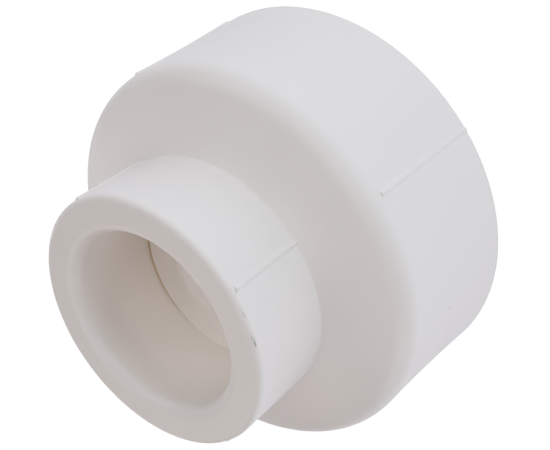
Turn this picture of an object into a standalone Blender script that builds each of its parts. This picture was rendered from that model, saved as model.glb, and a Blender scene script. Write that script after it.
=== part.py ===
"""Concentric reducing socket for heat-fused plastic pipe, in metres, with its axis along +Z.

The real fitting is one injection moulding: a wide socket below, a sloping shoulder, and a narrow
socket above, all on one axis, with four thin alignment ribs along the outside of each socket.
The moulding is divided here where its functions change, so each region is a closed solid of its
own: mouth rims, socket walls, shoulder, pipe stops and ribs. Regions that are continuous in the
real moulding meet across a split of SPLIT_GAP.

The origin is the centre of the wide mouth's end face, which is also the face it stands on.
"""
import math

import bpy
from mathutils import Matrix, Vector

MM = 0.001

# Overall
TOTAL_LENGTH = 58.2 * MM
TURNED_STEPS = 72
SPLIT_GAP = 0.3 * MM

# Wide socket, for 63 mm pipe
LARGE_OD_MOUTH = 84.0 * MM
LARGE_OD_SHOULDER = 83.5 * MM
LARGE_BORE_MOUTH = 62.2 * MM
LARGE_BORE_STOP = 61.0 * MM
LARGE_DEPTH = 27.5 * MM
LARGE_RIM_HEIGHT = 3.4 * MM
LARGE_EDGE_ROUND = 0.5 * MM

# Narrow socket, for 40 mm pipe
SMALL_OD_ROOT = 53.0 * MM
SMALL_OD_MOUTH = 54.0 * MM
SMALL_BORE_MOUTH = 37.9 * MM
SMALL_BORE_STOP = 37.8 * MM
SMALL_DEPTH = 20.7 * MM
SMALL_RIM_HEIGHT = 3.0 * MM
SMALL_EDGE_ROUND = 1.2 * MM

# Mouth lead-ins, on both sockets
LEAD_IN_RADIUS = 2.5 * MM

# Shoulder: a round edge, then a cone that climbs to the narrow socket
BARREL_HEIGHT = 29.4 * MM
SHOULDER_RADIUS = 5.0 * MM
SHOULDER_SLOPE = math.radians(22.6)

# Pipe stops and the waterway through them
WATERWAY_BORE = 22.8 * MM
WATERWAY_EDGE_ROUND = 0.5 * MM
STOP_GROOVE_WIDTH = 0.6 * MM
STOP_GROOVE_DEPTH = 0.35 * MM

# Alignment ribs
RIB_COUNT = 4
RIB_WIDTH = 1.6 * MM
RIB_HEIGHT = 0.42 * MM
RIB_GAP = 0.05 * MM
RIB_CROWN_STEPS = 6
LARGE_RIB_BOTTOM = 0.5 * MM
LARGE_RIB_TOP = 29.1 * MM
SMALL_RIB_END_SETBACK = 1.4 * MM

# Worked out from the dimensions above
SMALL_STOP_Z = TOTAL_LENGTH - SMALL_DEPTH
STOP_SPLIT_Z = (LARGE_DEPTH + SMALL_STOP_Z) / 2
CORE_RADIUS = SMALL_OD_ROOT / 2
WATERWAY_RADIUS = WATERWAY_BORE / 2

WHITE_PLASTIC = (0.82, 0.81, 0.80, 1.0)
PLASTIC_ROUGHNESS = 0.42


def clear_scene():
    """Remove every object that the scene starts with."""
    for obj in list(bpy.data.objects):
        bpy.data.objects.remove(obj, do_unlink=True)


def new_collection(name):
    """Add a collection under the scene and return it."""
    collection = bpy.data.collections.new(name)
    bpy.context.scene.collection.children.link(collection)
    return collection


def plastic(name):
    """Return a Principled material of white polypropylene for one region."""
    material = bpy.data.materials.new(name + "_plastic")
    material.use_nodes = True
    shader = material.node_tree.nodes["Principled BSDF"]
    shader.inputs["Base Color"].default_value = WHITE_PLASTIC
    shader.inputs["Roughness"].default_value = PLASTIC_ROUGHNESS
    shader.inputs["Metallic"].default_value = 0.0
    return material


def large_outer(z):
    """Radius of the wide socket's outer wall at height z."""
    share = z / BARREL_HEIGHT
    return (LARGE_OD_MOUTH + (LARGE_OD_SHOULDER - LARGE_OD_MOUTH) * share) / 2


def large_bore(z):
    """Radius of the wide socket's bore at height z."""
    share = z / LARGE_DEPTH
    return (LARGE_BORE_MOUTH + (LARGE_BORE_STOP - LARGE_BORE_MOUTH) * share) / 2


def shoulder_tangent():
    """Radius and height where the shoulder's round edge runs into its cone."""
    radius = large_outer(BARREL_HEIGHT) - SHOULDER_RADIUS * (1 - math.sin(SHOULDER_SLOPE))
    height = BARREL_HEIGHT + SHOULDER_RADIUS * math.cos(SHOULDER_SLOPE)
    return radius, height


def cone_height(radius):
    """Height of the shoulder's cone at a radius."""
    tangent_radius, tangent_height = shoulder_tangent()
    return tangent_height + (tangent_radius - radius) * math.tan(SHOULDER_SLOPE)


def small_outer(z):
    """Radius of the narrow socket's outer wall at height z."""
    root = cone_height(CORE_RADIUS)
    share = max(0.0, (z - root) / (TOTAL_LENGTH - root))
    return (SMALL_OD_ROOT + (SMALL_OD_MOUTH - SMALL_OD_ROOT) * share) / 2


def small_bore(z):
    """Radius of the narrow socket's bore at height z."""
    share = (z - SMALL_STOP_Z) / SMALL_DEPTH
    return (SMALL_BORE_STOP + (SMALL_BORE_MOUTH - SMALL_BORE_STOP) * share) / 2


def arc(centre, radius, start_deg, end_deg, steps):
    """Points (r, z) along an arc in the profile plane, both ends included."""
    points = []
    for index in range(steps + 1):
        angle = math.radians(start_deg + (end_deg - start_deg) * index / steps)
        points.append((centre[0] + radius * math.cos(angle), centre[1] + radius * math.sin(angle)))
    return points


def turned_ring(name, profile, collection):
    """Turn a closed (r, z) profile about Z; it runs down the outer side and up the inner side."""
    mesh = bpy.data.meshes.new(name)
    vertices = [(r, 0.0, z) for r, z in profile]
    edges = [(index, (index + 1) % len(profile)) for index in range(len(profile))]
    mesh.from_pydata(vertices, edges, [])
    ring = bpy.data.objects.new(name, mesh)
    collection.objects.link(ring)
    screw = ring.modifiers.new("turn", "SCREW")
    screw.axis = "Z"
    screw.angle = math.tau
    screw.steps = TURNED_STEPS
    screw.render_steps = TURNED_STEPS
    screw.use_merge_vertices = True
    screw.merge_threshold = 0.00001
    screw.use_smooth_shade = True
    mesh.materials.append(plastic(name))
    return ring


def large_mouth_rim(collection):
    """End of the wide socket: flat end face, small outer round and rounded lead-in."""
    top = LARGE_RIM_HEIGHT - SPLIT_GAP
    lead_in_r = large_bore(LEAD_IN_RADIUS) + LEAD_IN_RADIUS
    outer_r = large_outer(0.0) - LARGE_EDGE_ROUND
    profile = [(large_outer(top), top)]
    profile += arc((outer_r, LARGE_EDGE_ROUND), LARGE_EDGE_ROUND, 0, -90, 3)
    profile += arc((lead_in_r, LEAD_IN_RADIUS), LEAD_IN_RADIUS, 270, 180, 5)
    profile += [(large_bore(top), top)]
    return turned_ring("large_mouth_rim", profile, collection)


def large_socket_wall(collection):
    """Fusion wall of the wide socket, from its rim up to the pipe stop."""
    bottom = LARGE_RIM_HEIGHT
    top = LARGE_DEPTH - SPLIT_GAP
    profile = [
        (large_outer(top), top),
        (large_outer(bottom), bottom),
        (large_bore(bottom), bottom),
        (large_bore(top), top),
    ]
    return turned_ring("large_socket_wall", profile, collection)


def shoulder(collection):
    """Round edge and cone that close the wide socket, and the web round the narrow pipe stop."""
    stop_r = LARGE_BORE_STOP / 2 + SPLIT_GAP
    web_r = SMALL_BORE_STOP / 2 + SPLIT_GAP
    root_r = CORE_RADIUS + SPLIT_GAP
    web_bottom = STOP_SPLIT_Z + SPLIT_GAP / 2
    round_centre = (large_outer(BARREL_HEIGHT) - SHOULDER_RADIUS, BARREL_HEIGHT)
    profile = [(root_r, cone_height(root_r))]
    profile += arc(round_centre, SHOULDER_RADIUS, 90 - math.degrees(SHOULDER_SLOPE), 0, 6)
    profile += [
        (large_outer(LARGE_DEPTH), LARGE_DEPTH),
        (stop_r, LARGE_DEPTH),
        (stop_r, web_bottom),
        (web_r, web_bottom),
        (web_r, SMALL_STOP_Z),
        (root_r, SMALL_STOP_Z),
    ]
    return turned_ring("shoulder", profile, collection)


def large_pipe_stop(collection):
    """Annular ledge that the wide pipe's end comes to rest against."""
    outer_r = LARGE_BORE_STOP / 2
    top = STOP_SPLIT_Z - SPLIT_GAP / 2
    edge_centre = (WATERWAY_RADIUS + WATERWAY_EDGE_ROUND, LARGE_DEPTH + WATERWAY_EDGE_ROUND)
    profile = [(outer_r, top), (outer_r, LARGE_DEPTH)]
    profile += arc(edge_centre, WATERWAY_EDGE_ROUND, 270, 180, 3)
    profile += [(WATERWAY_RADIUS, top)]
    return turned_ring("large_pipe_stop", profile, collection)


def small_pipe_stop(collection):
    """Annular ledge that the narrow pipe's end rests against, with a fine groove at its foot."""
    bottom = STOP_SPLIT_Z + SPLIT_GAP / 2
    edge_centre = (WATERWAY_RADIUS + WATERWAY_EDGE_ROUND, SMALL_STOP_Z - WATERWAY_EDGE_ROUND)
    outer_r = SMALL_BORE_STOP / 2
    groove_r = outer_r - STOP_GROOVE_WIDTH
    groove_z = SMALL_STOP_Z - STOP_GROOVE_DEPTH
    profile = [(outer_r, groove_z), (outer_r, bottom), (WATERWAY_RADIUS, bottom)]
    profile += arc(edge_centre, WATERWAY_EDGE_ROUND, 180, 90, 3)
    profile += [(groove_r, SMALL_STOP_Z), (groove_r + STOP_GROOVE_WIDTH / 2, groove_z)]
    return turned_ring("small_pipe_stop", profile, collection)


def small_socket_wall(collection):
    """Fusion wall of the narrow socket, from its pipe stop up to its rim."""
    bottom = SMALL_STOP_Z + SPLIT_GAP
    top = TOTAL_LENGTH - SMALL_RIM_HEIGHT - SPLIT_GAP
    root = cone_height(CORE_RADIUS)
    profile = [
        (small_outer(top), top),
        (CORE_RADIUS, root),
        (CORE_RADIUS, bottom),
        (small_bore(bottom), bottom),
        (small_bore(top), top),
    ]
    return turned_ring("small_socket_wall", profile, collection)


def small_mouth_rim(collection):
    """End of the narrow socket: rounded outer edge, flat end face and rounded lead-in."""
    bottom = TOTAL_LENGTH - SMALL_RIM_HEIGHT
    edge_r = small_outer(TOTAL_LENGTH - SMALL_EDGE_ROUND) - SMALL_EDGE_ROUND
    lead_in_z = TOTAL_LENGTH - LEAD_IN_RADIUS
    lead_in_r = small_bore(lead_in_z) + LEAD_IN_RADIUS
    profile = arc((edge_r, TOTAL_LENGTH - SMALL_EDGE_ROUND), SMALL_EDGE_ROUND, 90, 0, 5)
    profile += [(small_outer(bottom), bottom), (small_bore(bottom), bottom)]
    profile += arc((lead_in_r, lead_in_z), LEAD_IN_RADIUS, 180, 90, 6)
    return turned_ring("small_mouth_rim", profile, collection)


def rib_section(name, length):
    """Curve for one rib: a low crowned outline with a flat base, extruded along the rib."""
    crown_radius = (RIB_WIDTH ** 2 / 4 + RIB_HEIGHT ** 2) / (2 * RIB_HEIGHT)
    half_angle = math.degrees(math.asin(RIB_WIDTH / 2 / crown_radius))
    centre = (0.0, RIB_HEIGHT - crown_radius)
    crown = arc(centre, crown_radius, 90 - half_angle, 90 + half_angle, RIB_CROWN_STEPS)
    curve = bpy.data.curves.new(name, "CURVE")
    curve.dimensions = "2D"
    curve.fill_mode = "BOTH"
    curve.extrude = length / 2
    outline = curve.splines.new("POLY")
    outline.points.add(len(crown) - 1)
    for point, (x, y) in zip(outline.points, crown):
        point.co = (x, y, 0.0, 1.0)
    outline.use_cyclic_u = True
    return curve


def rib_placement(angle, low, high):
    """Matrix that lays a rib on a wall, from point low to point high, each (radius, height)."""
    radial = Vector((math.cos(angle), math.sin(angle), 0.0))
    low_point = radial * low[0] + Vector((0.0, 0.0, low[1]))
    high_point = radial * high[0] + Vector((0.0, 0.0, high[1]))
    along = (high_point - low_point).normalized()
    across = radial.cross(along).normalized()
    outward = along.cross(across)
    middle = (low_point + high_point) / 2 + outward * RIB_GAP
    turn = Matrix((across, outward, along)).transposed()
    return Matrix.Translation(middle) @ turn.to_4x4()


def rib_set(prefix, low, high, collection):
    """Lay RIB_COUNT equal ribs round one socket, starting at -Y."""
    length = math.hypot(high[0] - low[0], high[1] - low[1])
    section = rib_section(prefix, length)
    section.materials.append(plastic(prefix))
    for index in range(RIB_COUNT):
        angle = math.tau * index / RIB_COUNT - math.pi / 2
        rib = bpy.data.objects.new(prefix + "_" + str(index + 1), section)
        collection.objects.link(rib)
        rib.matrix_world = rib_placement(angle, low, high)


def large_ribs(collection):
    """Ribs of the wide socket, from its mouth to just below the shoulder's round edge."""
    low = (large_outer(LARGE_RIB_BOTTOM), LARGE_RIB_BOTTOM)
    high = (large_outer(LARGE_RIB_TOP), LARGE_RIB_TOP)
    rib_set("large_rib", low, high, collection)


def small_ribs(collection):
    """Ribs of the narrow socket, from the shoulder to just behind the mouth."""
    bottom = cone_height(CORE_RADIUS) + SPLIT_GAP
    top = TOTAL_LENGTH - SMALL_RIB_END_SETBACK
    rib_set("small_rib", (small_outer(bottom), bottom), (small_outer(top), top), collection)


def main():
    """Build the fitting from its wide mouth upward."""
    clear_scene()
    parts = new_collection("concentric_reducer")
    large_mouth_rim(parts)
    large_socket_wall(parts)
    large_pipe_stop(parts)
    shoulder(parts)
    small_pipe_stop(parts)
    small_socket_wall(parts)
    small_mouth_rim(parts)
    large_ribs(parts)
    small_ribs(parts)


main()
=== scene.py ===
"""Looks of a white concentric reducing socket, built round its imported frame.

The fitting is one moulding in real life. Here it is made as three bodies that meet on hidden
faces (wide socket, narrow socket, pipe stops) and eight alignment ribs laid along the walls.
"""
import logging
import math
from dataclasses import dataclass
from enum import Enum
from typing import Callable, Iterable, Sequence

import bmesh
import bpy
from mathutils import Matrix, Vector


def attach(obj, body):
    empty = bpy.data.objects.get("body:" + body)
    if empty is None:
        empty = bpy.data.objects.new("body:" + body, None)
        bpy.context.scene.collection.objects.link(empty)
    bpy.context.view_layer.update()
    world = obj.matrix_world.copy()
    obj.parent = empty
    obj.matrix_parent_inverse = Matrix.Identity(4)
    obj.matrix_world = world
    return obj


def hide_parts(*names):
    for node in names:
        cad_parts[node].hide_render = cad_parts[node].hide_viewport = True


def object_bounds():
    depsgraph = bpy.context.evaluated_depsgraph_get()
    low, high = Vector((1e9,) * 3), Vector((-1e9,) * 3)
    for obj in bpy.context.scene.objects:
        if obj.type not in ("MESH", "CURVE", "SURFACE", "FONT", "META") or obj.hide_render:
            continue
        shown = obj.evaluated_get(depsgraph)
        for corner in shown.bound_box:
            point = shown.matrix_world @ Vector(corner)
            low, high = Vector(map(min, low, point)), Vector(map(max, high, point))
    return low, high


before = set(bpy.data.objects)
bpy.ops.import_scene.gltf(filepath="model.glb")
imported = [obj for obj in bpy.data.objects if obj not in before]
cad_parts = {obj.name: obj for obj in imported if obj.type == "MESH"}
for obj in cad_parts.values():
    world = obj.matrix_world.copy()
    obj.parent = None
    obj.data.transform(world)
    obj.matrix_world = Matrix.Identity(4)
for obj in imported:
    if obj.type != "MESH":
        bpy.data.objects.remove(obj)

LOG = logging.getLogger("reducer")
MM = 0.001
CAD_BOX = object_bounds()

JOINT_Z = 31.5 * MM
WIDE_OUTLINE_STEP = 1.2 * MM
NARROW_OUTLINE_STEP = 1.0 * MM
BARREL_TOP_STRETCH = 1.5 * MM
WALL_TOLERANCE = 0.1 * MM
TURNED_SEGMENTS = 288
ARC_STEP = 7.5
LEAST_ARC_STEPS = 4
EDGE_GUARD = 0.12 * MM
TURNED_SHARP_ANGLE = math.radians(50)
RIB_SHARP_ANGLE = math.radians(40)
LARGE_RIB_BOTTOM = 0.5 * MM
LARGE_RIB_TOP = 29.1 * MM
SMALL_RIB_FOOT_SINK = 0.4 * MM
SMALL_RIB_SETBACK = 1.4 * MM
RIB_FOOT_STEPS = 5
RIB_CROWN_STEPS = 12
RIB_END_STEPS = 5
RIB_STATION_SPACING = 1.2 * MM
RIB_EDGE_SINK = 0.012 * MM
FLOOR_GAP = 0.05 * MM

Point = tuple[float, float]
Colour = tuple[float, float, float]


# ---------------------------------------------------------------- sizes


@dataclass(frozen=True)
class FittingSizes:
    """Driving sizes of the moulding, in metres, measured up its axis from the wide mouth.

    Attributes:
        total: Overall length.
        large_od_mouth: Wide socket's outside diameter at its mouth.
        large_od_shoulder: The same where the shoulder's round edge starts.
        large_bore_mouth: Wide bore at its mouth.
        large_bore_stop: Wide bore at its pipe stop.
        large_depth: Depth of the wide socket.
        small_od_root: Narrow socket's outside diameter at its root.
        small_od_mouth: The same at its mouth.
        small_bore_mouth: Narrow bore at its mouth.
        small_bore_stop: Narrow bore at its pipe stop.
        small_depth: Depth of the narrow socket.
        barrel: Height where the shoulder's round edge starts.
        shoulder_round: Radius of that edge.
        shoulder_slope: Rise of the shoulder's cone, in radians.
        waterway: Diameter of the waterway through the pipe stops.
        stop_groove_width: Width of the fine groove round the narrow pipe stop.
        stop_groove_depth: Its depth.
        wall_sink: How far the wide wall has shrunk in at its middle.
    """

    total: float = 58.2 * MM
    large_od_mouth: float = 84.0 * MM
    large_od_shoulder: float = 83.5 * MM
    large_bore_mouth: float = 62.2 * MM
    large_bore_stop: float = 61.0 * MM
    large_depth: float = 27.5 * MM
    small_od_root: float = 53.0 * MM
    small_od_mouth: float = 54.0 * MM
    small_bore_mouth: float = 37.9 * MM
    small_bore_stop: float = 37.8 * MM
    small_depth: float = 20.7 * MM
    barrel: float = 29.4 * MM
    shoulder_round: float = 5.0 * MM
    shoulder_slope: float = math.radians(22.6)
    waterway: float = 22.8 * MM
    stop_groove_width: float = 0.6 * MM
    stop_groove_depth: float = 0.35 * MM
    wall_sink: float = 0.25 * MM

    @property
    def small_stop_z(self) -> float:
        """Height of the narrow pipe stop."""
        return self.total - self.small_depth

    @property
    def root_r(self) -> float:
        """Radius of the narrow socket's root."""
        return self.small_od_root / 2

    def large_outer(self, z: float) -> float:
        """Radius of the wide outer wall, with the sink that cooling leaves in it.

        Args:
            z: Height above the wide mouth.

        Returns:
            The radius in metres.
        """
        share = min(z / self.barrel, 1.0)
        straight = self.large_od_mouth + (self.large_od_shoulder - self.large_od_mouth) * share
        return straight / 2 - self.wall_sink * 4 * share * (1 - share)

    def cone_z(self, r: float) -> float:
        """Height of the shoulder's cone at a radius.

        Args:
            r: Radius from the axis.

        Returns:
            The height in metres.
        """
        slope = self.shoulder_slope
        tangent_r = self.large_od_shoulder / 2 - self.shoulder_round * (1 - math.sin(slope))
        tangent_z = self.barrel + self.shoulder_round * math.cos(slope)
        return tangent_z + (tangent_r - r) * math.tan(slope)

    def small_outer(self, z: float) -> float:
        """Radius of the narrow outer wall.

        Args:
            z: Height above the wide mouth.

        Returns:
            The radius in metres.
        """
        root_z = self.cone_z(self.root_r)
        share = max((z - root_z) / (self.total - root_z), 0.0)
        return (self.small_od_root + (self.small_od_mouth - self.small_od_root) * share) / 2


SIZES = FittingSizes()


# ---------------------------------------------------------------- outlines


class Surface(Enum):
    """Which finish a stretch of the moulding's surface takes."""

    OUTSIDE = "outside"
    END_FACE = "end_face"
    BORE = "bore"
    GROOVE = "groove"
    HIDDEN = "hidden"


@dataclass(frozen=True)
class Corner:
    """One corner of a turned outline.

    Attributes:
        r: Radius from the axis.
        z: Height.
        surface: Finish of the stretch that leaves this corner.
        round: Radius of the corner's own rounding.
    """

    r: float
    z: float
    surface: Surface
    round: float = 0.0


@dataclass(frozen=True)
class OutlinePoint:
    """A point of a finished outline, with the finish of the stretch that leaves it."""

    r: float
    z: float
    surface: Surface


def rounded_corner(before: Corner, corner: Corner, after: Corner) -> list[OutlinePoint]:
    """Turn one corner into its arc.

    Args:
        before: The corner ahead of it.
        corner: The corner to round.
        after: The corner behind it.

    Returns:
        The arc's points, or the corner itself where it has no rounding.
    """
    if corner.round <= 0:
        return [OutlinePoint(corner.r, corner.z, corner.surface)]
    here = Vector((corner.r, corner.z))
    back = (Vector((before.r, before.z)) - here).normalized()
    ahead = (Vector((after.r, after.z)) - here).normalized()
    half = back.angle(ahead) / 2
    centre = here + (back + ahead).normalized() * (corner.round / math.sin(half))
    start = here + back * (corner.round / math.tan(half)) - centre
    end = here + ahead * (corner.round / math.tan(half)) - centre
    swing = start.angle(end)
    steps = max(LEAST_ARC_STEPS, math.ceil(math.degrees(swing) / ARC_STEP))
    points = []
    for index in range(steps + 1):
        share = index / steps
        ray = (start * math.sin((1 - share) * swing) + end * math.sin(share * swing))
        place = centre + ray / math.sin(swing)
        points.append(OutlinePoint(place.x, place.y, corner.surface))
    return points


def filled_outline(corners: Sequence[Corner], spacing: float) -> list[OutlinePoint]:
    """Round an outline's corners, and divide its straight stretches.

    Args:
        corners: Corners of a closed outline, down its outer side and up its inner side.
        spacing: Longest step along a straight stretch.

    Returns:
        The closed outline's points.
    """
    count = len(corners)
    rough: list[OutlinePoint] = []
    for index, corner in enumerate(corners):
        rough += rounded_corner(corners[index - 1], corner, corners[(index + 1) % count])
    points: list[OutlinePoint] = []
    for index, here in enumerate(rough):
        there = rough[(index + 1) % len(rough)]
        length = math.hypot(there.r - here.r, there.z - here.z)
        shares = [0.0]
        if length > spacing:
            guard = EDGE_GUARD / length
            steps = math.ceil(length / spacing)
            shares += [guard, *(step / steps for step in range(1, steps)), 1 - guard]
        for share in shares:
            r = here.r + (there.r - here.r) * share
            z = here.z + (there.z - here.z) * share
            points.append(OutlinePoint(r, z, here.surface))
    return points


def turned(
    name: str,
    outline: Sequence[OutlinePoint],
    finishes: dict[Surface, bpy.types.Material],
    segments: int = TURNED_SEGMENTS,
    reshape: Callable[[float, float], float] | None = None,
) -> bpy.types.Object:
    """Turn a closed outline about the axis into one smooth closed body.

    Args:
        name: Name of the new piece.
        outline: The outline's points.
        finishes: Material of each kind of surface.
        segments: Divisions round the axis.
        reshape: Gives a new radius for an outside point from its radius and height.

    Returns:
        The new object, linked to the scene.
    """
    used = [kind for kind in finishes if any(point.surface is kind for point in outline)]
    shape = bmesh.new()
    rings = []
    for point in outline:
        r = reshape(point.r, point.z) if reshape and point.surface is Surface.OUTSIDE else point.r
        ring = []
        for step in range(segments):
            angle = math.tau * step / segments
            ring.append(shape.verts.new((r * math.cos(angle), r * math.sin(angle), point.z)))
        rings.append(ring)
    for index, point in enumerate(outline):
        upper, lower = rings[index], rings[(index + 1) % len(rings)]
        for step in range(segments):
            after = (step + 1) % segments
            face = shape.faces.new((upper[step], lower[step], lower[after], upper[after]))
            face.smooth = True
            face.material_index = used.index(point.surface)
    mesh = bpy.data.meshes.new(name)
    shape.to_mesh(mesh)
    shape.free()
    mesh.set_sharp_from_angle(angle=TURNED_SHARP_ANGLE)
    for kind in used:
        mesh.materials.append(finishes[kind])
    body = bpy.data.objects.new(name, mesh)
    bpy.context.scene.collection.objects.link(body)
    return body


# ---------------------------------------------------------------- finishes


def group_socket(
    group: bpy.types.ShaderNodeTree, name: str, kind: str, out: bool = False, value: float = 0.0
) -> None:
    """Add a named socket to a node group.

    Args:
        group: The group.
        name: Name of the socket.
        kind: Float, Vector or Color.
        out: True for an output.
        value: Default of a float input.
    """
    side = "OUTPUT" if out else "INPUT"
    socket = group.interface.new_socket(name=name, in_out=side, socket_type="NodeSocket" + kind)
    if kind == "Float":
        socket.default_value = value


def add_node(tree: bpy.types.NodeTree, kind: str, **settings: object) -> bpy.types.Node:
    """Add a node and set its properties.

    Args:
        tree: The node tree.
        kind: The node's type name.
        **settings: Properties to set on it.

    Returns:
        The new node.
    """
    node = tree.nodes.new(kind)
    for key, value in settings.items():
        setattr(node, key, value)
    return node


class SharedGroup:
    """A shader node group that is built once and then shared by the finishes."""

    name = "Shared group"

    @classmethod
    def get(cls) -> bpy.types.ShaderNodeTree:
        """Return the group, building it the first time."""
        return bpy.data.node_groups.get(cls.name) or cls.build()

    @classmethod
    def build(cls) -> bpy.types.ShaderNodeTree:
        """Start the empty group."""
        return bpy.data.node_groups.new(cls.name, "ShaderNodeTree")


class MouldGrain(SharedGroup):
    """Node group for the skin that a polished steel mould leaves on polypropylene.

    Its outputs are a height for bump, made of a fine grain and a soft orange peel, and two
    slow tones: one for colour and one for gloss.
    """

    name = "Mould grain"

    @classmethod
    def build(cls) -> bpy.types.ShaderNodeTree:
        """Build the group.

        Returns:
            The new node group.
        """
        group = super().build()
        group_socket(group, "Grain Scale", "Float", value=2600.0)
        group_socket(group, "Peel Scale", "Float", value=260.0)
        group_socket(group, "Peel Share", "Float", value=0.6)
        group_socket(group, "Height", "Float", out=True)
        group_socket(group, "Tone", "Float", out=True)
        group_socket(group, "Gloss", "Float", out=True)
        enter = add_node(group, "NodeGroupInput")
        leave = add_node(group, "NodeGroupOutput")
        place = add_node(group, "ShaderNodeTexCoord")
        grain = add_node(group, "ShaderNodeTexNoise")
        peel = add_node(group, "ShaderNodeTexNoise")
        tone = add_node(group, "ShaderNodeTexNoise")
        gloss = add_node(group, "ShaderNodeTexNoise")
        grain.inputs["Detail"].default_value = 2.0
        peel.inputs["Detail"].default_value = 1.0
        tone.inputs["Scale"].default_value = 55.0
        tone.inputs["Detail"].default_value = 3.0
        gloss.inputs["Scale"].default_value = 120.0
        gloss.inputs["Detail"].default_value = 2.0
        blend = add_node(group, "ShaderNodeMix")
        for noise in (grain, peel, tone, gloss):
            group.links.new(place.outputs["Object"], noise.inputs["Vector"])
        group.links.new(enter.outputs["Grain Scale"], grain.inputs["Scale"])
        group.links.new(enter.outputs["Peel Scale"], peel.inputs["Scale"])
        group.links.new(enter.outputs["Peel Share"], blend.inputs["Factor"])
        group.links.new(grain.outputs["Fac"], blend.inputs["A"])
        group.links.new(peel.outputs["Fac"], blend.inputs["B"])
        group.links.new(blend.outputs["Result"], leave.inputs["Height"])
        group.links.new(tone.outputs["Fac"], leave.inputs["Tone"])
        group.links.new(gloss.outputs["Fac"], leave.inputs["Gloss"])
        return group


class DrawLines(SharedGroup):
    """Node group for faint lines along the axis, left where the core and cavity slid off."""

    name = "Draw lines"

    @classmethod
    def build(cls) -> bpy.types.ShaderNodeTree:
        """Build the group.

        Returns:
            The new node group.
        """
        group = super().build()
        group_socket(group, "Density", "Float", value=900.0)
        group_socket(group, "Lines", "Float", out=True)
        enter = add_node(group, "NodeGroupInput")
        leave = add_node(group, "NodeGroupOutput")
        place = add_node(group, "ShaderNodeTexCoord")
        squeeze = add_node(group, "ShaderNodeMapping")
        squeeze.inputs["Scale"].default_value = (1.0, 1.0, 0.03)
        lines = add_node(group, "ShaderNodeTexNoise")
        lines.inputs["Detail"].default_value = 3.0
        group.links.new(place.outputs["Object"], squeeze.inputs["Vector"])
        group.links.new(squeeze.outputs["Vector"], lines.inputs["Vector"])
        group.links.new(enter.outputs["Density"], lines.inputs["Scale"])
        group.links.new(lines.outputs["Fac"], leave.inputs["Lines"])
        return group


class HandlingMarks(SharedGroup):
    """Node group for the few specks and rubs that a fitting picks up in its bag."""

    name = "Handling marks"

    @classmethod
    def build(cls) -> bpy.types.ShaderNodeTree:
        """Build the group.

        Returns:
            The new node group.
        """
        group = super().build()
        group_socket(group, "Spacing", "Float", value=110.0)
        group_socket(group, "Speck Size", "Float", value=0.02)
        group_socket(group, "Specks", "Float", out=True)
        group_socket(group, "Rubs", "Float", out=True)
        enter = add_node(group, "NodeGroupInput")
        leave = add_node(group, "NodeGroupOutput")
        place = add_node(group, "ShaderNodeTexCoord")
        cells = add_node(group, "ShaderNodeTexVoronoi")
        inside = add_node(group, "ShaderNodeMath", operation="LESS_THAN")
        few = add_node(group, "ShaderNodeMath", operation="GREATER_THAN")
        few.inputs[1].default_value = 0.72
        parted = add_node(group, "ShaderNodeSeparateColor")
        both = add_node(group, "ShaderNodeMath", operation="MULTIPLY")
        rub = add_node(group, "ShaderNodeTexNoise")
        rub.inputs["Scale"].default_value = 75.0
        rub.inputs["Detail"].default_value = 6.0
        rub.inputs["Distortion"].default_value = 1.2
        ramp = add_node(group, "ShaderNodeMapRange")
        ramp.inputs["From Min"].default_value = 0.58
        ramp.inputs["From Max"].default_value = 0.72
        for pattern in (cells, rub):
            group.links.new(place.outputs["Object"], pattern.inputs["Vector"])
        group.links.new(enter.outputs["Spacing"], cells.inputs["Scale"])
        group.links.new(cells.outputs["Distance"], inside.inputs[0])
        group.links.new(enter.outputs["Speck Size"], inside.inputs[1])
        group.links.new(cells.outputs["Color"], parted.inputs["Color"])
        group.links.new(parted.outputs["Red"], few.inputs[0])
        group.links.new(inside.outputs[0], both.inputs[0])
        group.links.new(few.outputs[0], both.inputs[1])
        group.links.new(rub.outputs["Fac"], ramp.inputs["Value"])
        group.links.new(both.outputs[0], leave.inputs["Specks"])
        group.links.new(ramp.outputs["Result"], leave.inputs["Rubs"])
        return group


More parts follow.
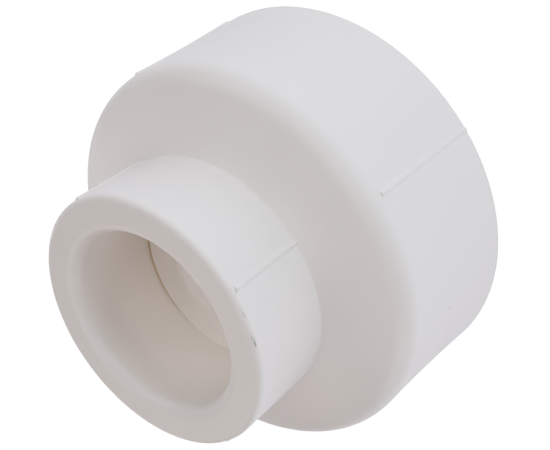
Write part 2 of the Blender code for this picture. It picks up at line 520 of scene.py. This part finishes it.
class EdgeNick(SharedGroup):
    """Node group for one small nick: a short run of dark scratches at a given place."""

    name = "Edge nick"

    @classmethod
    def build(cls) -> bpy.types.ShaderNodeTree:
        """Build the group.

        Returns:
            The new node group.
        """
        group = super().build()
        group_socket(group, "Place", "Vector")
        group_socket(group, "Turn", "Vector")
        group_socket(group, "Reach", "Vector")
        group_socket(group, "Nick", "Float", out=True)
        enter = add_node(group, "NodeGroupInput")
        leave = add_node(group, "NodeGroupOutput")
        where = add_node(group, "ShaderNodeTexCoord")
        local = add_node(group, "ShaderNodeMapping", vector_type="TEXTURE")
        far = add_node(group, "ShaderNodeVectorMath", operation="LENGTH")
        strokes = add_node(group, "ShaderNodeMapping")
        strokes.inputs["Scale"].default_value = (0.7, 2.6, 2.6)
        torn = add_node(group, "ShaderNodeTexNoise")
        torn.inputs["Scale"].default_value = 1.6
        torn.inputs["Detail"].default_value = 2.0
        ragged = add_node(group, "ShaderNodeMath", operation="MULTIPLY_ADD")
        ragged.inputs[1].default_value = 3.0
        edge = add_node(group, "ShaderNodeMapRange")
        edge.inputs["From Min"].default_value = 2.1
        edge.inputs["From Max"].default_value = 1.75
        group.links.new(where.outputs["Object"], local.inputs["Vector"])
        group.links.new(enter.outputs["Place"], local.inputs["Location"])
        group.links.new(enter.outputs["Turn"], local.inputs["Rotation"])
        group.links.new(enter.outputs["Reach"], local.inputs["Scale"])
        group.links.new(local.outputs["Vector"], far.inputs[0])
        group.links.new(local.outputs["Vector"], strokes.inputs["Vector"])
        group.links.new(strokes.outputs["Vector"], torn.inputs["Vector"])
        group.links.new(torn.outputs["Fac"], ragged.inputs[0])
        group.links.new(far.outputs["Value"], ragged.inputs[2])
        group.links.new(ragged.outputs[0], edge.inputs["Value"])
        group.links.new(edge.outputs["Result"], leave.inputs["Nick"])
        return group


class GroovePaintedShade(SharedGroup):
    """Node group for painted shade: a brown darkening along the +X side of the pipe stop's
    groove, where the groove lies in shade.
    """

    name = "Groove painted shade"

    @classmethod
    def build(cls) -> bpy.types.ShaderNodeTree:
        """Build the group.

        Returns:
            The new node group.
        """
        group = super().build()
        group_socket(group, "Painted Shade", "Float", out=True)
        leave = add_node(group, "NodeGroupOutput")
        where = add_node(group, "ShaderNodeTexCoord")
        parted = add_node(group, "ShaderNodeSeparateXYZ")
        uneven = add_node(group, "ShaderNodeTexNoise")
        uneven.inputs["Scale"].default_value = 180.0
        shifted = add_node(group, "ShaderNodeMath", operation="MULTIPLY_ADD")
        shifted.inputs[1].default_value = 8.0 * MM
        fade = add_node(group, "ShaderNodeMapRange")
        fade.inputs["From Min"].default_value = -6.0 * MM
        fade.inputs["From Max"].default_value = 8.0 * MM
        group.links.new(where.outputs["Object"], parted.inputs["Vector"])
        group.links.new(where.outputs["Object"], uneven.inputs["Vector"])
        group.links.new(uneven.outputs["Fac"], shifted.inputs[0])
        group.links.new(parted.outputs["X"], shifted.inputs[2])
        group.links.new(shifted.outputs[0], fade.inputs["Value"])
        group.links.new(fade.outputs["Result"], leave.inputs["Painted Shade"])
        return group


@dataclass(frozen=True)
class Nick:
    """One nick on a turned edge.

    Attributes:
        bearing: Degrees round the axis from +X.
        r: Distance from the axis.
        z: Height.
        length: Half its length, along the edge.
        width: Half its width.
        strength: How dark it is, from 0 to 1.
    """

    bearing: float
    r: float
    z: float
    length: float
    width: float
    strength: float

    def add(self, tree: bpy.types.NodeTree) -> bpy.types.NodeSocket:
        """Add the nick to a material.

        Args:
            tree: The material's node tree.

        Returns:
            The socket with its mask.
        """
        turn = math.radians(self.bearing)
        node = add_node(tree, "ShaderNodeGroup", node_tree=EdgeNick.get())
        place = (self.r * math.cos(turn), self.r * math.sin(turn), self.z)
        node.inputs["Place"].default_value = place
        node.inputs["Turn"].default_value = (0.0, 0.0, turn + math.pi / 2)
        node.inputs["Reach"].default_value = (self.length, self.width, self.width)
        faded = add_node(tree, "ShaderNodeMath", operation="MULTIPLY")
        faded.inputs[1].default_value = self.strength
        tree.links.new(node.outputs["Nick"], faded.inputs[0])
        return faded.outputs[0]


@dataclass(frozen=True)
class Polypropylene:
    """A finish of white polypropylene.

    Attributes:
        name: Name of the material.
        light: Colour of its lighter tone.
        deep: Colour of its darker tone.
        speck: Colour of a speck of dirt on it.
        nicked: Colour in the bottom of a nick.
        gloss: Lowest and highest roughness.
        grain_depth: Bump distance of the mould grain, in metres.
        line_depth: Bump distance of the draw lines, in metres.
        peel_share: Share of soft orange peel in the grain.
        speck_size: Size of the specks, as a share of their spacing.
        nicks: Nicks on its edges.
        painted_shade_colour: Colour of the painted shade laid over its +X side, where it has one.
    """

    name: str
    light: Colour = (0.925, 0.889, 0.856)
    deep: Colour = (0.905, 0.866, 0.830)
    speck: Colour = (0.46, 0.42, 0.38)
    nicked: Colour = (0.14, 0.14, 0.12)
    gloss: tuple[float, float] = (0.36, 0.46)
    grain_depth: float = 0.006 * MM
    line_depth: float = 0.0
    peel_share: float = 0.6
    speck_size: float = 0.02
    nicks: tuple[Nick, ...] = ()
    painted_shade_colour: Colour | None = None

    def material(self) -> bpy.types.Material:
        """Build the finish as a material.

        Returns:
            The new material.
        """
        made = bpy.data.materials.new(self.name)
        made.use_nodes = True
        tree = made.node_tree
        shader = tree.nodes["Principled BSDF"]
        shader.inputs["IOR"].default_value = 1.49
        shader.inputs["Specular IOR Level"].default_value = 0.5
        grain = add_node(tree, "ShaderNodeGroup", node_tree=MouldGrain.get())
        grain.inputs["Peel Share"].default_value = self.peel_share
        marks = add_node(tree, "ShaderNodeGroup", node_tree=HandlingMarks.get())
        marks.inputs["Speck Size"].default_value = self.speck_size
        self.colour(tree, shader, grain, marks)
        self.gloss_levels(tree, shader, grain, marks)
        self.relief(tree, shader, grain)
        return made

    def colour(
        self, tree: bpy.types.NodeTree, shader: bpy.types.Node, grain: bpy.types.Node,
        marks: bpy.types.Node,
    ) -> None:
        """Link slow mottling, specks, nicks and painted shade into Base Color.

        Args:
            tree: The material's node tree.
            shader: Its Principled node.
            grain: Its mould grain group.
            marks: Its handling marks group.
        """
        mottle = add_node(tree, "ShaderNodeMix", data_type="RGBA")
        mottle.inputs["A"].default_value = (*self.deep, 1.0)
        mottle.inputs["B"].default_value = (*self.light, 1.0)
        dirt = add_node(tree, "ShaderNodeMix", data_type="RGBA")
        dirt.inputs["B"].default_value = (*self.speck, 1.0)
        tree.links.new(grain.outputs["Tone"], mottle.inputs["Factor"])
        tree.links.new(mottle.outputs["Result"], dirt.inputs["A"])
        tree.links.new(marks.outputs["Specks"], dirt.inputs["Factor"])
        last = dirt.outputs["Result"]
        for nick in self.nicks:
            worn = add_node(tree, "ShaderNodeMix", data_type="RGBA")
            worn.inputs["B"].default_value = (*self.nicked, 1.0)
            tree.links.new(nick.add(tree), worn.inputs["Factor"])
            tree.links.new(last, worn.inputs["A"])
            last = worn.outputs["Result"]
        # Painted shade: blends the colour towards a brown over the +X side.
        if self.painted_shade_colour:
            painted_shade_node = add_node(tree, "ShaderNodeGroup", node_tree=GroovePaintedShade.get())
            painted_shade_mix = add_node(tree, "ShaderNodeMix", data_type="RGBA")
            painted_shade_mix.inputs["B"].default_value = (*self.painted_shade_colour, 1.0)
            tree.links.new(painted_shade_node.outputs["Painted Shade"], painted_shade_mix.inputs["Factor"])
            tree.links.new(last, painted_shade_mix.inputs["A"])
            last = painted_shade_mix.outputs["Result"]
        tree.links.new(last, shader.inputs["Base Color"])

    def gloss_levels(
        self, tree: bpy.types.NodeTree, shader: bpy.types.Node, grain: bpy.types.Node,
        marks: bpy.types.Node,
    ) -> None:
        """Link slow gloss changes and rubbed patches into Roughness.

        Args:
            tree: The material's node tree.
            shader: Its Principled node.
            grain: Its mould grain group.
            marks: Its handling marks group.
        """
        spread = add_node(tree, "ShaderNodeMapRange")
        spread.inputs["From Min"].default_value = 0.3
        spread.inputs["From Max"].default_value = 0.7
        spread.inputs["To Min"].default_value = self.gloss[0]
        spread.inputs["To Max"].default_value = self.gloss[1]
        rubbed = add_node(tree, "ShaderNodeMath", operation="MULTIPLY_ADD")
        rubbed.inputs[1].default_value = 0.08
        tree.links.new(grain.outputs["Gloss"], spread.inputs["Value"])
        tree.links.new(marks.outputs["Rubs"], rubbed.inputs[0])
        tree.links.new(spread.outputs["Result"], rubbed.inputs[2])
        tree.links.new(rubbed.outputs[0], shader.inputs["Roughness"])

    def relief(
        self, tree: bpy.types.NodeTree, shader: bpy.types.Node, grain: bpy.types.Node
    ) -> None:
        """Link the grain, and draw lines where the finish has them, into Normal.

        Args:
            tree: The material's node tree.
            shader: Its Principled node.
            grain: Its mould grain group.
        """
        skin = add_node(tree, "ShaderNodeBump")
        skin.inputs["Distance"].default_value = self.grain_depth
        tree.links.new(grain.outputs["Height"], skin.inputs["Height"])
        if self.line_depth > 0:
            lines = add_node(tree, "ShaderNodeGroup", node_tree=DrawLines.get())
            drawn = add_node(tree, "ShaderNodeBump")
            drawn.inputs["Distance"].default_value = self.line_depth
            tree.links.new(lines.outputs["Lines"], drawn.inputs["Height"])
            tree.links.new(drawn.outputs["Normal"], skin.inputs["Normal"])
        tree.links.new(skin.outputs["Normal"], shader.inputs["Normal"])


@dataclass(frozen=True)
class FloorFinish:
    """A pale floor lit from within, like a light table, that looks white from above.

    Attributes:
        tint: Its colour.
        own_light: Light that it throws on the fitting.
        look: Its own brightness as the camera sees it.
    """

    tint: Colour = (0.30, 0.30, 0.30)
    own_light: Colour = (0.65, 0.66, 0.715)
    look: Colour = (0.90, 0.90, 0.90)

    def material(self) -> bpy.types.Material:
        """Build the floor's material.

        Returns:
            The new material.
        """
        made = bpy.data.materials.new("pale_floor")
        made.use_nodes = True
        tree = made.node_tree
        shader = tree.nodes["Principled BSDF"]
        shader.inputs["Base Color"].default_value = (*self.tint, 1.0)
        shader.inputs["Roughness"].default_value = 0.9
        shader.inputs["Specular IOR Level"].default_value = 0.0
        shader.inputs["Emission Strength"].default_value = 1.0
        path = add_node(tree, "ShaderNodeLightPath")
        glow = add_node(tree, "ShaderNodeMix", data_type="RGBA")
        glow.inputs["A"].default_value = (*self.own_light, 1.0)
        glow.inputs["B"].default_value = (*self.look, 1.0)
        tree.links.new(path.outputs["Is Camera Ray"], glow.inputs["Factor"])
        tree.links.new(glow.outputs["Result"], shader.inputs["Emission Color"])
        return made


# ---------------------------------------------------------------- the moulding's bodies


@dataclass
class LargeSocket:
    """Wide socket: outer wall, shoulder, mouth and bore.

    Attributes:
        sizes: The fitting's sizes.
        mouth_round: Rounding of the mouth's outer edge.
        lead_in: Rounding of the mouth's inner edge.
        joint_z: Height where the three bodies meet inside the plastic.
    """

    sizes: FittingSizes
    mouth_round: float = 0.5 * MM
    lead_in: float = 2.5 * MM
    joint_z: float = JOINT_Z

    def corners(self) -> list[Corner]:
        """List the outline's corners, from the narrow socket's root outward and round."""
        sizes = self.sizes
        root_r = sizes.root_r
        barrel_r = sizes.large_od_shoulder / 2
        round_in = sizes.shoulder_round * math.tan((math.pi / 2 - sizes.shoulder_slope) / 2)
        edge_z = sizes.barrel + round_in
        return [
            Corner(root_r, sizes.cone_z(root_r), Surface.OUTSIDE),
            Corner(barrel_r, edge_z, Surface.OUTSIDE, sizes.shoulder_round),
            Corner(barrel_r, sizes.barrel - BARREL_TOP_STRETCH, Surface.OUTSIDE),
            Corner(sizes.large_od_mouth / 2, 0.0, Surface.END_FACE, self.mouth_round),
            Corner(sizes.large_bore_mouth / 2, 0.0, Surface.BORE, self.lead_in),
            Corner(sizes.large_bore_stop / 2, sizes.large_depth, Surface.HIDDEN),
            Corner(root_r, self.joint_z, Surface.HIDDEN),
        ]

    def reshape(self, r: float, z: float) -> float:
        """Give the outer wall its taper and its sink, and leave the shoulder and mouth alone.

        Args:
            r: Radius on the straight outline.
            z: Height.

        Returns:
            The new radius.
        """
        sizes = self.sizes
        if z > sizes.barrel or r < sizes.large_od_shoulder / 2 - WALL_TOLERANCE:
            return r
        if z < self.mouth_round:
            return r
        return sizes.large_outer(z)

    def build(self, finishes: dict[Surface, bpy.types.Material]) -> bpy.types.Object:
        """Build the body and tie it to the frame.

        Args:
            finishes: Material of each kind of surface.

        Returns:
            The new object.
        """
        outline = filled_outline(self.corners(), WIDE_OUTLINE_STEP)
        body = turned("large_socket", outline, finishes, reshape=self.reshape)
        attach(body, "root")
        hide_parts("large_mouth_rim", "large_socket_wall", "shoulder")
        return body


@dataclass
class SmallSocket:
    """Narrow socket: outer wall, rounded mouth and bore.

    Attributes:
        sizes: The fitting's sizes.
        mouth_round: Rounding of the mouth's outer edge.
        lead_in: Rounding of the mouth's inner edge.
        joint_z: Height where the three bodies meet inside the plastic.
    """

    sizes: FittingSizes
    mouth_round: float = 1.2 * MM
    lead_in: float = 2.5 * MM
    joint_z: float = JOINT_Z

    def corners(self) -> list[Corner]:
        """List the outline's corners, from the mouth's outer edge down and round."""
        sizes = self.sizes
        root_r = sizes.root_r
        return [
            Corner(sizes.small_od_mouth / 2, sizes.total, Surface.OUTSIDE, self.mouth_round),
            Corner(root_r, sizes.cone_z(root_r), Surface.HIDDEN),
            Corner(root_r, self.joint_z, Surface.HIDDEN),
            Corner(sizes.small_bore_stop / 2, sizes.small_stop_z, Surface.BORE),
            Corner(sizes.small_bore_mouth / 2, sizes.total, Surface.END_FACE, self.lead_in),
        ]

    def build(self, finishes: dict[Surface, bpy.types.Material]) -> bpy.types.Object:
        """Build the body and tie it to the frame.

        Args:
            finishes: Material of each kind of surface.

        Returns:
            The new object.
        """
        outline = filled_outline(self.corners(), NARROW_OUTLINE_STEP)
        body = turned("small_socket", outline, finishes)
        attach(body, "root")
        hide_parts("small_socket_wall", "small_mouth_rim")
        return body


@dataclass
class PipeStops:
    """Web between the sockets: the two pipe stops and the waterway through them.

    Attributes:
        sizes: The fitting's sizes.
        edge_round: Rounding where each stop runs into the waterway.
        lip_round: Rounding of the groove's inner lip.
        groove_round: Rounding of the groove's two bottom corners.
        joint_z: Height where the three bodies meet inside the plastic.
    """

    sizes: FittingSizes
    edge_round: float = 0.5 * MM
    lip_round: float = 0.12 * MM
    groove_round: float = 0.08 * MM
    joint_z: float = JOINT_Z

    def corners(self) -> list[Corner]:
        """List the outline's corners, from the narrow stop's groove outward, down and round."""
        sizes = self.sizes
        waterway_r = sizes.waterway / 2
        foot_r = sizes.small_bore_stop / 2
        lip_r = foot_r - sizes.stop_groove_width
        groove_z = sizes.small_stop_z - sizes.stop_groove_depth
        bottom_r = lip_r + sizes.stop_groove_width / 2
        return [
            Corner(lip_r, sizes.small_stop_z, Surface.GROOVE, self.lip_round),
            Corner(bottom_r, groove_z, Surface.GROOVE, self.groove_round),
            Corner(foot_r, groove_z, Surface.GROOVE, self.groove_round),
            Corner(foot_r, sizes.small_stop_z, Surface.HIDDEN),
            Corner(sizes.root_r, self.joint_z, Surface.HIDDEN),
            Corner(sizes.large_bore_stop / 2, sizes.large_depth, Surface.BORE),
            Corner(waterway_r, sizes.large_depth, Surface.BORE, self.edge_round),
            Corner(waterway_r, sizes.small_stop_z, Surface.BORE, self.edge_round),
        ]

    def build(self, finishes: dict[Surface, bpy.types.Material]) -> bpy.types.Object:
        """Build the body and tie it to the frame.

        Args:
            finishes: Material of each kind of surface.

        Returns:
            The new object.
        """
        outline = filled_outline(self.corners(), NARROW_OUTLINE_STEP)
        body = turned("pipe_stops", outline, finishes)
        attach(body, "root")
        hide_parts("large_pipe_stop", "small_pipe_stop")
        return body


# ---------------------------------------------------------------- alignment ribs


@dataclass
class RibRow:
    """The four alignment ribs of one socket.

    Attributes:
        name: Start of the ribs' names, which are also their nodes' names.
        slot: Not used.
        bottom: Height of the lower end.
        top: Height of the upper end.
        wall: Gives the wall's radius at a height.
        height: Height of the crown above the wall.
        crown: Radius of the crown's arc.
        foot: Radius of the flare at each foot.
        sunk: Depth of the hidden base below the wall.
        end_round: Rounding of the free end's top edge.
        free_ends: Which ends stand free: lower, then upper.
    """

    name: str
    slot: str
    bottom: float
    top: float
    wall: Callable[[float], float]
    height: float = 0.41 * MM
    crown: float = 0.55 * MM
    foot: float = 0.8 * MM
    sunk: float = 0.3 * MM
    end_round: float = 0.2 * MM
    free_ends: tuple[bool, bool] = (False, True)

    def section(self) -> list[Point]:
        """Work out the rib's cross-section.

        Returns:
            Points (across, out from the wall), from one hidden base corner to the other.
        """
        reach = self.crown + self.foot
        drop = reach - self.height
        swing = math.acos(drop / reach)
        foot_x = reach * math.sin(swing)
        left: list[Point] = []
        for index in range(RIB_FOOT_STEPS):
            angle = swing * index / RIB_FOOT_STEPS
            x = -foot_x + self.foot * math.sin(angle)
            left.append((x, self.foot * (1 - math.cos(angle))))
        crown: list[Point] = []
        for index in range(RIB_CROWN_STEPS + 1):
            angle = -swing + 2 * swing * index / RIB_CROWN_STEPS
            x = self.crown * math.sin(angle)
            crown.append((x, self.crown * math.cos(angle) - self.crown + self.height))
        right = [(-x, y) for x, y in reversed(left)]
        visible = [(x, y - RIB_EDGE_SINK) for x, y in [*left, *crown, *right]]
        return [(-foot_x, -self.sunk), *visible, (foot_x, -self.sunk)]

    def stations(self) -> list[tuple[float, float]]:
        """Work out where sections stand along the rib.

        Returns:
            Pairs of height above the wide mouth and share of the full crown.
        """
        low = self.bottom + self.end_round
        high = self.top - self.end_round
        steps = math.ceil((high - low) / RIB_STATION_SPACING)
        middle = [(low + (high - low) * step / steps, 1.0) for step in range(steps + 1)]
        turn = [math.pi / 2 * step / RIB_END_STEPS for step in range(1, RIB_END_STEPS + 1)]
        drop = self.end_round / self.height
        upper = []
        lower = []
        for angle in turn:
            along = self.end_round * math.sin(angle)
            share = 1 - drop * (1 - math.cos(angle))
            upper.append((high + along, share if self.free_ends[1] else 1.0))
            lower.append((low - along, share if self.free_ends[0] else 1.0))
        return [*reversed(lower), *middle, *upper]

    def build_one(self, index: int, finish: bpy.types.Material) -> bpy.types.Object:
        """Build one rib and tie it to the frame.

        Args:
            index: Its number, from 1, starting at the -Y side.
            finish: Its material.

        Returns:
            The new object.
        """
        middle = math.tau * (index - 1) / 4 - math.pi / 2
        section = self.section()
        shape = bmesh.new()
        rows = []
        for z, share in self.stations():
            r = self.wall(z)
            row = []
            for x, y in section:
                out = r + (y * share if y > 0 else y)
                angle = middle + x / r
                row.append(shape.verts.new((out * math.cos(angle), out * math.sin(angle), z)))
            rows.append(row)
        count = len(section)
        for lower, upper in zip(rows, rows[1:]):
            for step in range(count):
                after = (step + 1) % count
                shape.faces.new((lower[step], lower[after], upper[after], upper[step]))
        shape.faces.new(list(reversed(rows[0])))
        shape.faces.new(rows[-1])
        bmesh.ops.recalc_face_normals(shape, faces=shape.faces)
        for face in shape.faces:
            face.smooth = True
        name = f"{self.name}_{index}"
        mesh = bpy.data.meshes.new(name + "_line")
        shape.to_mesh(mesh)
        shape.free()
        mesh.set_sharp_from_angle(angle=RIB_SHARP_ANGLE)
        mesh.materials.append(finish)
        rib = bpy.data.objects.new(name + "_line", mesh)
        bpy.context.scene.collection.objects.link(rib)
        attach(rib, "root")
        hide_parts(name)
        return rib

    def build(self, finish: bpy.types.Material) -> list[bpy.types.Object]:
        """Build the four ribs.

        Args:
            finish: Their material.

        Returns:
            The new objects.
        """
        return [self.build_one(index, finish) for index in range(1, 5)]


# ---------------------------------------------------------------- studio


@dataclass(frozen=True)
class LightShape:
    """Size of a soft light, and how high it hangs.

    Attributes:
        rise: Degrees above the floor.
        width: Its size along the floor.
        height: Its size up from the floor.
    """

    rise: float
    width: float
    height: float


TOP_BOX = LightShape(65, 0.5, 0.5)
SOFTBOX = LightShape(40, 0.6, 0.6)
BAR = LightShape(20, 0.6, 0.25)
STRIP = LightShape(5, 0.8, 0.2)

NEUTRAL: Colour = (1.0, 1.0, 1.0)
WARM: Colour = (1.0, 0.94, 0.93)
AMBER: Colour = (1.0, 0.82, 0.74)
COOL: Colour = (0.95, 0.95, 1.0)
SKY: Colour = (0.74, 0.88, 1.0)


@dataclass(frozen=True)
class SoftLight:
    """One large soft light, a metre from the fitting.

    Attributes:
        name: Its name.
        shape: Its size and height.
        bearing: Degrees round the axis from +X.
        power: Its power in watts.
        tint: Its colour.
        distance: How far off it stands.
    """

    name: str
    shape: LightShape
    bearing: float
    power: float
    tint: Colour = NEUTRAL
    distance: float = 1.0

    def place(self, target: Vector) -> bpy.types.Object:
        """Add the light, turned towards a point.

        Args:
            target: The point it faces.

        Returns:
            The new light.
        """
        data = bpy.data.lights.new(self.name, "AREA")
        data.shape = "RECTANGLE"
        data.size = self.shape.width
        data.size_y = self.shape.height
        data.energy = self.power
        data.color = self.tint
        light = bpy.data.objects.new(self.name, data)
        bpy.context.scene.collection.objects.link(light)
        turn, rise = math.radians(self.bearing), math.radians(self.shape.rise)
        flat = math.cos(rise)
        away = Vector((math.cos(turn) * flat, math.sin(turn) * flat, math.sin(rise)))
        light.location = target + away * self.distance
        light.rotation_mode = "QUATERNION"
        light.rotation_quaternion = away.to_track_quat("Z", "Y")
        return light


@dataclass(frozen=True)
class Studio:
    """Camera, lights, surround and floor.

    Attributes:
        aim: Point that the middle of the picture looks at.
        azimuth: Degrees round from looking along +Y.
        elevation: Degrees above the floor.
        roll: Degrees that the camera is turned about its own line of sight.
        distance: From the aim to the camera.
        lens: Focal length in millimetres, on a 36 mm wide sensor.
        lights: The soft lights.
        floor_side: Length of the floor's side.
        lit_point: Point that every light faces.
    """

    aim: tuple[float, float, float] = (1.6 * MM, -5.2 * MM, 22.8 * MM)
    azimuth: float = 8.42
    elevation: float = 40.34
    roll: float = 126.6
    distance: float = 262.6 * MM
    lens: float = 84.8
    lights: tuple[SoftLight, ...] = (
        SoftLight("front_top_box", TOP_BOX, 270, 1.1, WARM),
        SoftLight("back_top_box", TOP_BOX, 90, 0.8, WARM),
        SoftLight("right_softbox", SOFTBOX, 0, 2.0, COOL),
        SoftLight("back_softbox", SOFTBOX, 120, 1.1, WARM),
        SoftLight("left_softbox", SOFTBOX, 180, 0.35, AMBER),
        SoftLight("front_left_softbox", SOFTBOX, 240, 0.5, AMBER),
        SoftLight("front_right_softbox", SOFTBOX, 300, 1.65),
        SoftLight("right_bar", BAR, 0, 0.1, AMBER),
        SoftLight("back_right_bar", BAR, 60, 0.5),
        SoftLight("back_bar", BAR, 120, 0.3, WARM),
        SoftLight("left_bar", BAR, 180, 1.45, COOL),
        SoftLight("back_strip", STRIP, 90, 1.1, COOL),
        SoftLight("left_strip", STRIP, 180, 0.2, SKY),
        SoftLight("front_left_strip", STRIP, 225, 0.15, SKY),
        SoftLight("front_strip", STRIP, 270, 1.65, SKY),
        SoftLight("front_right_strip", STRIP, 315, 0.5, SKY),
    )
    floor_side: float = 6.0
    lit_point: tuple[float, float, float] = (0.0, 0.0, 29.0 * MM)

    def camera(self) -> bpy.types.Object:
        """Add the camera and make it the scene's.

        Returns:
            The camera.
        """
        data = bpy.data.cameras.new("studio_camera")
        data.lens = self.lens
        data.sensor_width = 36.0
        data.clip_start = 0.01
        data.clip_end = 20.0
        camera = bpy.data.objects.new("studio_camera", data)
        bpy.context.scene.collection.objects.link(camera)
        turn, rise = math.radians(self.azimuth), math.radians(self.elevation)
        flat = math.cos(rise)
        back = Vector((math.sin(turn) * flat, -math.cos(turn) * flat, math.sin(rise)))
        upright = back.to_track_quat("Z", "Y").to_matrix()
        rolled = upright @ Matrix.Rotation(-math.radians(self.roll), 3, "Z")
        stand = Vector(self.aim) + back * self.distance
        camera.matrix_world = Matrix.Translation(stand) @ rolled.to_4x4()
        bpy.context.scene.camera = camera
        return camera

    def surround(self) -> None:
        """Show white behind the floor's edge, and throw no light on the fitting from there."""
        world = bpy.data.worlds.new("studio_surround")
        bpy.context.scene.world = world
        world.use_nodes = True
        tree = world.node_tree
        background = tree.nodes["Background"]
        background.inputs["Color"].default_value = (1.0, 1.0, 1.0, 1.0)
        path = add_node(tree, "ShaderNodeLightPath")
        tree.links.new(path.outputs["Is Camera Ray"], background.inputs["Strength"])

    def floor(self, finish: FloorFinish) -> bpy.types.Object:
        """Lay the floor under the fitting.

        Args:
            finish: The floor's finish.

        Returns:
            The floor.
        """
        half = self.floor_side / 2
        mesh = bpy.data.meshes.new("studio_floor")
        corners = [(-half, -half, 0.0), (half, -half, 0.0), (half, half, 0.0), (-half, half, 0.0)]
        mesh.from_pydata(corners, [], [(0, 1, 2, 3)])
        mesh.materials.append(finish.material())
        floor = bpy.data.objects.new("studio_floor", mesh)
        floor.location.z = CAD_BOX[0].z - FLOOR_GAP
        bpy.context.scene.collection.objects.link(floor)
        return floor

    def build(self) -> None:
        """Set up camera, lights, surround and floor."""
        view = bpy.context.scene.view_settings
        view.view_transform = "Standard"
        self.camera()
        self.surround()
        self.floor(FloorFinish())
        for light in self.lights:
            light.place(Vector(self.lit_point))


# ---------------------------------------------------------------- assembly


def finish_set() -> dict[Surface, bpy.types.Material]:
    """Make the finishes of the moulding's surfaces.

    Returns:
        The material of each kind of surface.
    """
    nicks = (
        Nick(249.0, 26.5 * MM, 57.6 * MM, 2.1 * MM, 0.55 * MM, 0.7),
        Nick(261.0, 26.6 * MM, 57.6 * MM, 1.9 * MM, 0.4 * MM, 0.3),
        Nick(269.2, 26.9 * MM, 57.0 * MM, 0.9 * MM, 0.4 * MM, 0.25),
    )
    outside = Polypropylene("pp_outside", nicks=nicks)
    end_face = Polypropylene("pp_end_face", grain_depth=0.003 * MM, speck_size=0.03)
    bore = Polypropylene("pp_bore", (0.937, 0.892, 0.846), (0.917, 0.868, 0.819),
                         line_depth=0.004 * MM, speck_size=0.0)
    # The groove's tones are lighter than the other finishes: a painted highlight along its -X
    # side. The brown on its +X side is painted shade.
    groove = Polypropylene("pp_groove", (0.97, 0.94, 0.91), (0.95, 0.92, 0.88),
                           speck_size=0.0, painted_shade_colour=(0.76, 0.64, 0.48))
    outer = outside.material()
    return {
        Surface.OUTSIDE: outer,
        Surface.END_FACE: end_face.material(),
        Surface.BORE: bore.material(),
        Surface.GROOVE: groove.material(),
        Surface.HIDDEN: outer,
    }


def report(pieces: Iterable[bpy.types.Object]) -> None:
    """Log each finished piece.

    Args:
        pieces: The pieces.
    """
    for piece in pieces:
        LOG.info("%s: %d faces", piece.name, len(piece.data.polygons))


def main() -> None:
    """Build the studio, then the moulding from its wide mouth upward."""
    logging.basicConfig(level=logging.INFO, format="%(name)s %(message)s")
    Studio().build()
    finishes = finish_set()
    report([LargeSocket(SIZES).build(finishes)])
    report([PipeStops(SIZES).build(finishes)])
    report([SmallSocket(SIZES).build(finishes)])
    rib_finish = Polypropylene("pp_rib", speck_size=0.0).material()
    large = RibRow("large_rib", "large_ribs", LARGE_RIB_BOTTOM, LARGE_RIB_TOP, SIZES.large_outer)
    report(large.build(rib_finish))
    foot_z = SIZES.cone_z(SIZES.root_r) - SMALL_RIB_FOOT_SINK
    end_z = SIZES.total - SMALL_RIB_SETBACK
    small = RibRow("small_rib", "small_ribs", foot_z, end_z, SIZES.small_outer)
    report(small.build(rib_finish))


if __name__ == "__main__":
    main()
